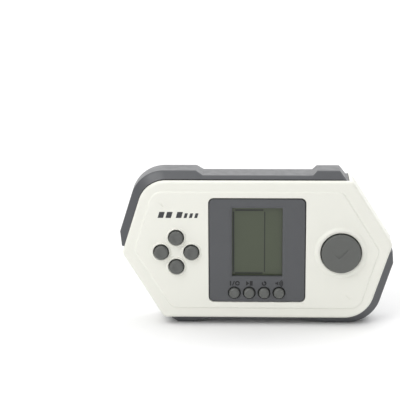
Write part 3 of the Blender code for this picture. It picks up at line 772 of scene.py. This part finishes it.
def bezel():
    face = top_of("screen_bezel")
    middle = [at + shift for at, shift in zip(BEZEL_CENTRE, BEZEL_SHIFT)]
    outer = rectangle(middle, [side - 2 * GAP - BEZEL_PLAY for side in BEZEL_SIZE], 2.8)
    rings = [level(outer, BEZEL_BACK), level(outer, face), level(offset(outer, -1.5), face)]
    frame_piece = loft("bezel", rings, (BEZEL_EDGE,))
    flange = rectangle(BEZEL_CENTRE, (BEZEL_SIZE[0] + 3.2, BEZEL_SIZE[1] + 2.4), 3.0)
    add(frame_piece, plate("flange", flange, BEZEL_BACK - 0.01, FLANGE))

    window = rectangle(WINDOW_CENTRE, WINDOW_SIZE, 0.3, 1)
    rings = [level(window, 0), level(window, face - WINDOW_DEPTH), level(offset(window, WINDOW_SLOPE), face)]
    rings.append(level(offset(window, WINDOW_SLOPE + 0.3), face + 1))
    cut(frame_piece, loft("window", rings, (0.15, 0.2)))
    pocket = rectangle(WINDOW_CENTRE, [side + 4.2 for side in WINDOW_SIZE], 0.3, 1)
    cut(frame_piece, plate("pocket", pocket, 0, 9.4))
    hole = [(0, 20), (FUNCTION_HOLE + 0.25, 20), (FUNCTION_HOLE + 0.25, face)]
    hole += [(FUNCTION_HOLE + 0.08, face - 0.09), (FUNCTION_HOLE, face - 0.25), (FUNCTION_HOLE, 0), (0, 0)]
    for name in FUNCTION_NODES:
        cut(frame_piece, turned("function_hole", hole, place_of(f"{name}_button")))
    return piece(frame_piece, BEZEL_GREY, "casing", "bezel_plastic", "screen_bezel")


def display_marks():
    """The printed border of the playing field, which leaves a narrow column at its right. Its left line is
    partly print and partly painted shade: it is drawn as wide as the print and the shade of the window's
    left wall together.
    """
    low = top_of("display_polariser") + 0.01
    high = low + 0.03
    x = (FIELD_LEFT + FIELD_RIGHT) / 2
    y = (FIELD_TOP + FIELD_BOTTOM) / 2
    width = FIELD_RIGHT - FIELD_LEFT
    height = FIELD_TOP - FIELD_BOTTOM - 2 * FIELD_CORNER
    lines = {
        "top": ((x - 0.1, FIELD_TOP), (width - 1.3, 0.9)),
        "bottom": ((x - 0.3, FIELD_BOTTOM), (width - 1.5, 0.9)),
        "right": ((FIELD_RIGHT, y), (0.6, height)),
        # painted shade: this line is print widened to take in the shade of the window's left wall, and it is
        # set towards that wall
        "left": ((FIELD_LEFT - 0.35, y), (0.8, height)),
    }
    for side, (middle, size) in lines.items():
        mark = plate(f"display_line_{side}", rectangle(middle, size, 0.2, 2), low, high)
        piece(mark, SEGMENT, "casing", "print_ink")


# ---------------------------------------------------------------- printed marks

ICON_RISE = 5.5  # from the middle of a button to the middle of its icon
ICON_HALF = 1.35  # half of an icon's height
ICON_LINE = 0.72
ICON_THIN_LINE = 0.8 * ICON_LINE
ICON_RING = ICON_HALF - ICON_LINE / 2
ICON_RING_STEPS = 24
MOTIF_LEFT = -54.0
MOTIF_BOTTOM = 18.7
MOTIF_LEAN = 1.0 / 3.4  # sideways run for each mm of height
MOTIF_TALL = 3.4
MOTIF_SHORT = 0.78 * MOTIF_TALL
MOTIF_BARS = (  # start, width, height
    (0, 3.0, MOTIF_TALL),
    (4.3, 3.0, MOTIF_TALL),
    (9.9, 3.0, MOTIF_TALL),
    (14.2, 1.6, MOTIF_SHORT),
    (17.1, 1.6, MOTIF_SHORT),
    (20.0, 1.6, MOTIF_SHORT),
)


def stroke(points, width):
    """The corners of a line of one width through points, with square ends."""
    points = [Vector(point) for point in points]
    left, right = [], []
    for i, here in enumerate(points):
        come = (here - points[max(i - 1, 0)]).normalized()
        go = (points[min(i + 1, len(points) - 1)] - here).normalized()
        along = (come + go).normalized()
        side = Vector((-along.y, along.x))
        reach = width / 2 / max(side.dot(Vector((-go.y, go.x)) if go.length else side), 0.5)
        left.append(here + side * reach)
        right.append(here - side * reach)
    return left + right[::-1]


def upright(x, y):
    """The corners of an icon's upright line."""
    return stroke([(x, y - ICON_HALF), (x, y + ICON_HALF)], ICON_LINE)


def power_icon(x, y):
    """A line, a slash and a ring, for on and off."""
    slash = stroke([(x - 1.0, y - ICON_HALF), (x, y + ICON_HALF)], ICON_THIN_LINE)
    ring = arc((x + 1.7, y), ICON_RING, 0, 350, ICON_RING_STEPS)
    return [upright(x - 2.1, y), slash, stroke(ring, ICON_LINE)]


def pause_icon(x, y):
    """A triangle and two lines, for play and pause."""
    play = [(x - 1.7, y - ICON_HALF), (x - 1.7, y + ICON_HALF), (x + 0.1, y)]
    return [play, upright(x + 0.7, y), upright(x + 1.5, y)]


def reset_icon(x, y):
    """A ring that ends in an arrow tip, to start again."""
    ring = arc((x, y - 0.05), ICON_RING, 80, -220, ICON_RING_STEPS)
    tip = [(x + 0.15, y + 1.45), (x + 0.15, y + 0.05), (x + 1.15, y + 0.75)]
    return [stroke(ring, ICON_LINE), tip]


def sound_icon(x, y):
    """A horn and three waves."""
    horn = [(x - 2.0, y - 0.45), (x - 2.0, y + 0.45), (x - 1.3, y + 0.45)]
    horn += [(x - 0.4, y + 1.15), (x - 0.4, y - 1.15), (x - 1.3, y - 0.45)]
    waves = [arc((x - 0.5, y), radius, 48, -48, 10) for radius in (1.0, 1.75, 2.5)]
    return [horn, *[stroke(wave, ICON_THIN_LINE) for wave in waves]]


def function_icons():
    """The icon over each function button."""
    low = top_of("screen_bezel") + 0.005
    for name, icon in zip(FUNCTION_NODES, (power_icon, pause_icon, reset_icon, sound_icon)):
        x, y = place_of(f"{name}_button")
        for i, corners in enumerate(icon(x, y + ICON_RISE), 1):
            mark = polygon(f"{name}_icon_{i}", corners, low, low + PRINT_THICKNESS)
            piece(mark, BEZEL_INK, "casing", "print_ink")


def panel_motif():
    """A plain row of slanted bars in the place of a printed title."""
    low = PANEL + 0.005
    for i, (start, width, height) in enumerate(MOTIF_BARS, 1):
        x = MOTIF_LEFT + start
        top = MOTIF_BOTTOM + height
        lean = MOTIF_LEAN * height
        corners = [(x, MOTIF_BOTTOM), (x + lean, top), (x + width + lean, top), (x + width, MOTIF_BOTTOM)]
        bar = polygon(f"motif_bar_{i}", corners, low, low + PRINT_THICKNESS)
        piece(bar, INK, "casing", "print_ink")


# ---------------------------------------------------------------- buttons

DIRECTION_CAP = (3.82, 0.8, 0.75)  # radius, rounded edge, how deep its top is dished
ACTION_CAP = (10.75, 0.7, 0.0)
CAP_STEPS = 8
FUNCTION_CAP_EDGE = (  # radius, and how far below the top
    (1.7, 0),
    (1.95, 0.02),
    (2.1, 0.08),
    (2.55, 0.42),
    (2.78, 0.62),
    (2.87, 0.78),
    (2.9, 1.0),
)
ENGRAVED = 0.22


def rounded_cap(top, radius, edge, dish):
    """The upper part of a cap's profile: a flat or dished middle, and a rounded edge."""
    profile = []
    rim = radius - edge
    for k in range(CAP_STEPS + 1):
        t = k / CAP_STEPS
        sunk = dish * (0.5 + 0.5 * math.cos(math.pi * t))
        profile.append((rim * t, top - sunk))
    profile += list(arc((rim, top - edge), edge, 90, 0, CAP_STEPS))[1:]
    return profile


def cap_with_stem(name, cap, flange, stem, hollow=None):
    """A turned button: the cap, the flange that keeps it in, and the stem on its contact.

    The flange is a radius, a top and a foot; the hollow inside it is a radius and a ceiling."""
    reach, flange_top, flange_foot = flange
    foot = top_of(f"{name}_contact") + GAP
    profile = [*cap, (cap[-1][0], flange_top), (reach, flange_top), (reach, flange_foot)]
    if hollow:
        inside, ceiling = hollow
        profile += [(inside, flange_foot), (inside, ceiling), (stem, ceiling)]
    else:
        profile.append((stem, flange_foot))
    profile += [(stem, foot), (0, foot)]
    return turned(f"{name}_cap", profile, place_of(f"{name}_button"), 96)


def direction_caps():
    for name in DIRECTION_NODES:
        node = f"{name}_button"
        cap = rounded_cap(top_of(node), *DIRECTION_CAP)
        obj = cap_with_stem(name, cap, (5.0, FLANGE, FLANGE - 1.0), 2.4)
        piece(obj, BUTTON_GREY, f"{name}_key", "button_plastic", node)


def action_cap():
    node = "action_button"
    top = top_of(node)
    cap = rounded_cap(top, *ACTION_CAP)
    obj = cap_with_stem("action", cap, (12.7, FLANGE, FLANGE - 1.2), 3.5, (9.6, 13.4))
    x, y = place_of(node)
    tick = stroke([(x - 3.2, y + 0.1), (x - 1.0, y - 2.0), (x + 3.3, y + 2.3)], 0.75)
    cut(obj, polygon("tick", tick, top - ENGRAVED, top + 1))
    piece(obj, BUTTON_GREY, "action_key", "button_plastic", node)


def function_caps():
    below = BEZEL_BACK - GAP
    for name in FUNCTION_NODES:
        node = f"{name}_button"
        top = top_of(node)
        cap = [(0, top), *[(radius, top - drop) for radius, drop in FUNCTION_CAP_EDGE]]
        obj = cap_with_stem(name, cap, (3.8, below, below - 0.8), 1.8)
        piece(obj, BUTTON_GREY, f"{name}_key", "button_plastic", node)


# ---------------------------------------------------------------- fasteners and cells

CROSS_WIDTH = 0.55
SHANK = 1.1
NUB = 0.9  # how far a cell's positive end stands out
FILM_EDGE = 1.0  # the cells are bare metal nearer than this to their positive end


def screw(name, node, body, head, head_height, seat):
    """A cross-head screw seen from the back, with its underside at its seat."""
    tip = top_of(node)
    low = seat - head_height
    profile = [(0, tip), (SHANK * 0.4, tip), (SHANK, tip - 1.2), (SHANK, seat), (head, seat)]
    profile += [(head, low + 0.5), *arc((head - 0.5, low + 0.5), 0.5, 0, -90), (0, low)]
    at = place_of(node)
    obj = turned(name, profile, at, 48)
    arm = rectangle((0, 0), (head * 1.24, CROSS_WIDTH), 0.2, 2)
    rings = [level(arm, low - 1), level(arm, low + head_height * 0.25)]
    rings.append(level(offset(arm, -0.12), low + head_height * 0.6))
    for turn in (math.pi / 4, 3 * math.pi / 4):
        move = Matrix.Translation((*at, 0)) @ Matrix.Rotation(turn, 4, "Z")
        cut(obj, loft("cross", [[move @ point for point in ring] for ring in rings]))
    piece(obj, STEEL, body, "steel", node)


def screws():
    for i, node in enumerate(CASE_SCREWS, 1):
        screw(f"casing_screw_{i}", node, "casing", 2.4, 1.9, -7.6)
    screw("cover_screw", "door_screw", "door", 2.3, 1.7, -10.2)


def cells():
    """Two cells, each a jacketed tube with bare ends and a nub at its positive one."""
    for i, side in ((1, 1), (2, -1)):
        node = f"battery_{i}"
        low, high = (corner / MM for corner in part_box(node))
        half = (high.x - low.x) / 2
        radius = (high.z - low.z) / 2
        x, y = place_of(node)
        middle = Vector((x, y, DEPTH_MIDDLE - (low.y + high.y) / 2))
        profile = [(0, half), *arc((1.6, half - 0.3), 0.3, 90, 0), (1.9, half - NUB), (4.4, half - NUB)]
        profile += arc((radius - 0.8, half - NUB - 0.8), 0.8, 90, 0)
        profile += arc((radius - 0.4, 0.4 - half), 0.4, 0, -90)
        profile.append((0, -half))
        lay = Matrix.Translation(middle) @ Matrix.Rotation(side * math.pi / 2, 4, "Y")
        obj = turned(f"cell_{i}", profile, axis=lay)
        piece(obj, JACKET, "casing", "cell_jacket", node)
        obj.data.materials.append(STEEL)
        for face in obj.data.polygons:
            along = (face.center.x / MM - middle.x) * side
            if along > half - FILM_EDGE or along < 0.2 - half:
                face.material_index = 1


# ---------------------------------------------------------------- pieces kept from the CAD


def kept_nodes():
    contacts = [f"{name}_contact" for name in (*DIRECTION_NODES, "action", *FUNCTION_NODES)]
    looks = {
        DISPLAY: ("display_polariser",),
        GLASS: ("display_glass",),
        FOIL: ("display_reflector",),
        WHITE: ("display_holder",),
        CARBON: ("display_connector", *contacts),
        LAMINATE: ("main_board",),
        EPOXY: ("chip",),
        JACKET: ("capacitor",),
        RUBBER: ("direction_keypad", "action_keypad", "function_keypad"),
        RED_WIRE: ("speaker_wire_red",),
        BLACK_WIRE: ("speaker_wire_black",),
        STEEL: ("speaker", "bridge_contact", "negative_contact", "positive_contact", *BOARD_SCREWS),
    }
    for material, nodes in looks.items():
        for node in nodes:
            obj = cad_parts[node]
            obj.data.materials.clear()
            obj.data.materials.append(material)


# ---------------------------------------------------------------- studio

CAMERA_ELEVATION = math.radians(17.6)
CAMERA_DISTANCE = 0.792
FOCAL = 130.0
SENSOR = 36.0
ASIDE = math.radians(2.25)  # the camera looks past the game, which stands right of the middle
ABOVE = math.radians(2.0)
ROLL = math.radians(0.26)
FLOOR_COLOUR = (0.88, 0.88, 0.88)
FLOOR_HALF = 6.0
WORLD_STRENGTH = 0.62


def camera():
    target = to_frame((0, 0, BORDER))
    data = bpy.data.cameras.new("camera")
    data.lens = FOCAL
    data.sensor_width = SENSOR
    obj = bpy.data.objects.new("camera", data)
    look = Matrix.Rotation(math.pi / 2 - CAMERA_ELEVATION, 4, "X")
    aim = Matrix.Rotation(ASIDE, 4, "Y") @ Matrix.Rotation(ABOVE, 4, "X") @ Matrix.Rotation(ROLL, 4, "Z")
    away = Vector((0, -math.cos(CAMERA_ELEVATION), math.sin(CAMERA_ELEVATION))) * CAMERA_DISTANCE
    obj.matrix_world = Matrix.Translation(target + away) @ look @ aim
    bpy.context.scene.collection.objects.link(obj)
    bpy.context.scene.camera = obj


def floor():
    shape = bmesh.new()
    bmesh.ops.create_grid(shape, x_segments=1, y_segments=1, size=FLOOR_HALF)
    mesh = bpy.data.meshes.new("floor")
    shape.to_mesh(mesh)
    shape.free()
    obj = bpy.data.objects.new("floor", mesh)
    bpy.context.scene.collection.objects.link(obj)
    material, shader = principled("pale_floor", FLOOR_COLOUR, 0.9)
    vary_colour(material, shader, FLOOR_COLOUR, 0.01, 3)
    obj.data.materials.append(material)
    obj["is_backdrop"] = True


def light(name, at, size, power, target=(0, 0, 0.04)):
    """A soft lamp, size wide and high, that faces the target."""
    data = bpy.data.lights.new(name, "AREA")
    data.shape = "RECTANGLE"
    data.size, data.size_y = size
    data.energy = power
    obj = bpy.data.objects.new(name, data)
    obj.location = at
    obj.rotation_euler = (Vector(target) - Vector(at)).to_track_quat("-Z", "Y").to_euler()
    bpy.context.scene.collection.objects.link(obj)


def studio():
    floor()
    light("key", (-0.38, -0.45, 0.6), (0.4, 0.4), 2.35)
    light("side", (0.5, 0.3, 0.95), (0.6, 0.6), 3.0)
    light("overhead", (0, 0.3, 2.0), (2.5, 2.5), 16, (0, 0.3, 0))
    light("backdrop", (0, 1.7, 0.62), (3.2, 1.2), 11.0)
    world = bpy.data.worlds.new("studio")
    world.use_nodes = True
    background = world.node_tree.nodes["Background"]
    background.inputs["Color"].default_value = (1, 1, 1, 1)
    background.inputs["Strength"].default_value = WORLD_STRENGTH
    bpy.context.scene.world = world
    bpy.context.scene.view_settings.view_transform = "Standard"


camera()
front_casing()
rear_casing()
battery_cover()
bezel()
display_marks()
function_icons()
panel_motif()
direction_caps()
action_cap()
function_caps()
screws()
cells()
kept_nodes()
studio()

sizes = {"cad": cad_bounds, "visual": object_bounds()}
{name: [list(corner) for corner in bounds] for name, bounds in sizes.items()}
